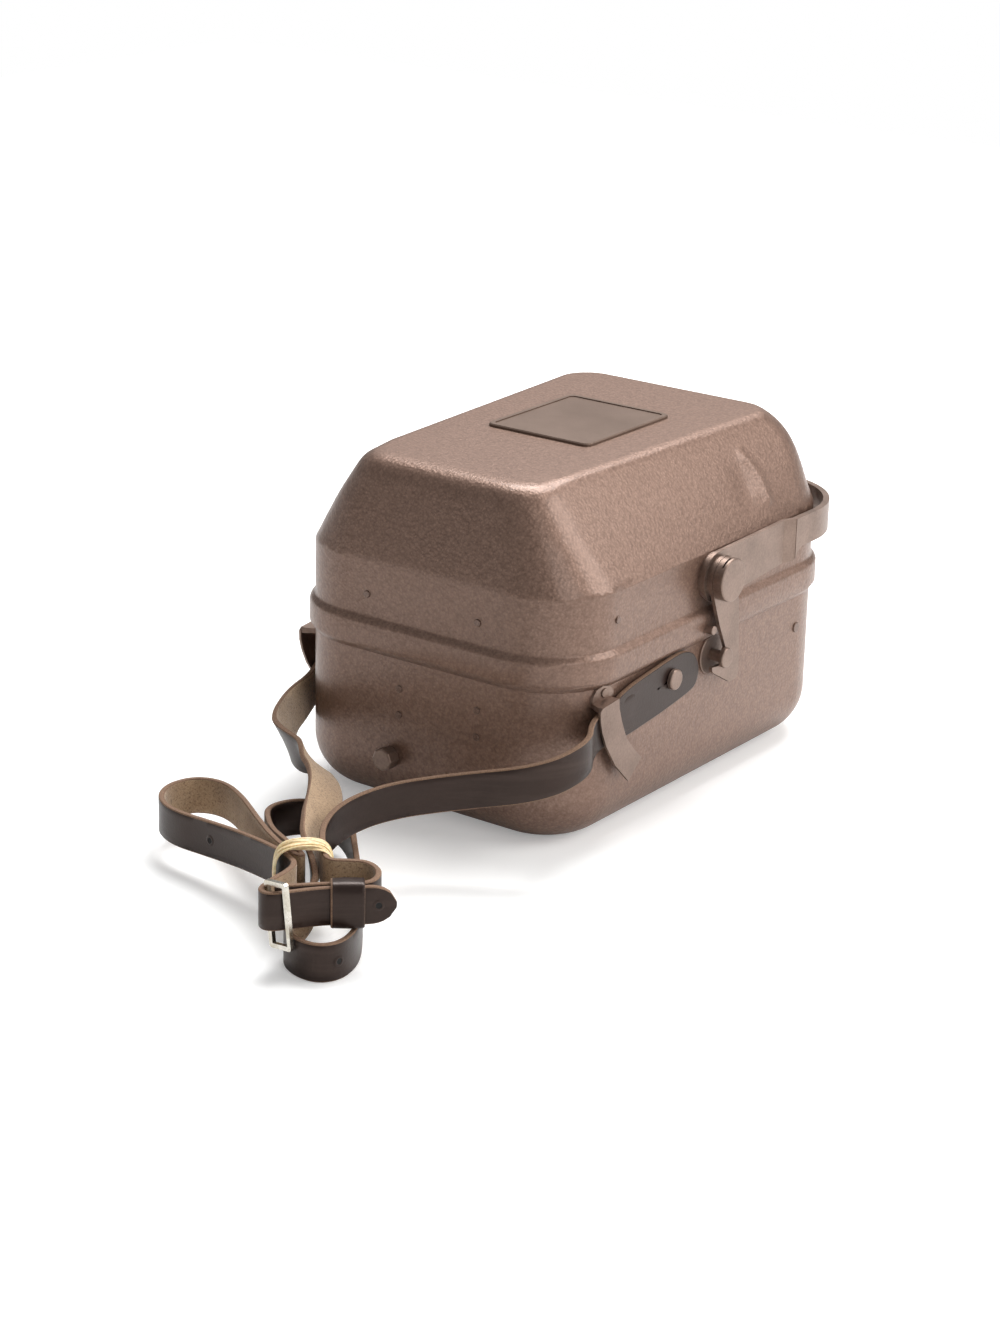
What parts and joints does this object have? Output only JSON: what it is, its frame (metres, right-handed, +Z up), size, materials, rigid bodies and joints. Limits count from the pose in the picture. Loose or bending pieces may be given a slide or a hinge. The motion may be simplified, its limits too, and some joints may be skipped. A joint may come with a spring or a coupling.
{
  "type": "metal camera case",
  "caption": "Deep metal case with rounded corners and a lift-off lid, swing handle, side latch hooks and leather straps tied in loops.",
  "frame": {"origin": "middle of the resting face of the case, on the floor", "axes": "+Z up, +Y towards the back end that carries the handle's grip, +X towards the right side; the straps hang at the -Y end"},
  "size_m": [0.1852, 0.4048, 0.1648],
  "materials": {
    "case_enamel": "hammered enamel, semi-gloss",
    "plate": "lacquered, satin",
    "steel": "worn steel, satin",
    "dark_steel": "blackened steel, satin",
    "handle_steel": "enamelled steel strip, semi-gloss",
    "bright_steel": "polished steel, light wear",
    "nickel": "nickel plated",
    "strap_leather": "dark grain side, tan flesh side",
    "felt": "felt",
    "seal_rubber": "matte",
    "band_rubber": "natural rubber, slightly translucent"
  },
  "bodies": {
    "case": {"body_shell": "case_enamel", "latch_plates": "steel", "latch_studs": "bright_steel", "strap_studs": "bright_steel", "strap_stud_washers": "steel", "strap_keeper_right": "dark_steel", "strap_keeper_left": "dark_steel", "keeper_rivets": "case_enamel", "foot_stud": "dark_steel", "bracket_rivets": "case_enamel", "rear_rivets": "case_enamel", "inner_brackets": "steel", "rear_rivet_washers": "steel", "floor_pad": "felt", "strap_right": "strap_leather", "strap_left": "strap_leather", "buckle_frame": "nickel", "strap_loop": "strap_leather", "rubber_band": "band_rubber"},
    "lid": {"lid_shell": "case_enamel", "lid_seal": "seal_rubber", "name_plate": "plate", "pivot_stud_right": "dark_steel", "pivot_stud_left": "dark_steel", "pivot_washers": "dark_steel", "spacer_washers": "dark_steel", "stop_pins": "bright_steel", "lid_front_rivets": "case_enamel", "lid_side_rivets": "case_enamel", "lid_front_strip": "steel", "lid_rivet_washers": "steel", "lid_pad": "felt"},
    "handle": {"handle": "handle_steel"},
    "hook_right": {"hook_right": "dark_steel"},
    "hook_left": {"hook_left": "dark_steel"}
  },
  "joints": [
    {"name": "lid_lift", "type": "slide", "parent": "case", "child": "lid", "axis": [0, 0, 1], "range_m": [0, 0.12]},
    {"name": "handle_swing", "type": "hinge", "parent": "lid", "child": "handle", "pos_m": [0, -0.002, 0.1063], "axis": [1, 0, 0], "range_deg": [-4, 180]},
    {"name": "hook_right_swing", "type": "hinge", "parent": "lid", "child": "hook_right", "pos_m": [0.0866, -0.002, 0.1063], "axis": [1, 0, 0], "range_deg": [0, 100]},
    {"name": "hook_left_swing", "type": "hinge", "parent": "lid", "child": "hook_left", "pos_m": [-0.0866, -0.002, 0.1063], "axis": [1, 0, 0], "range_deg": [0, 100]}
  ]
}
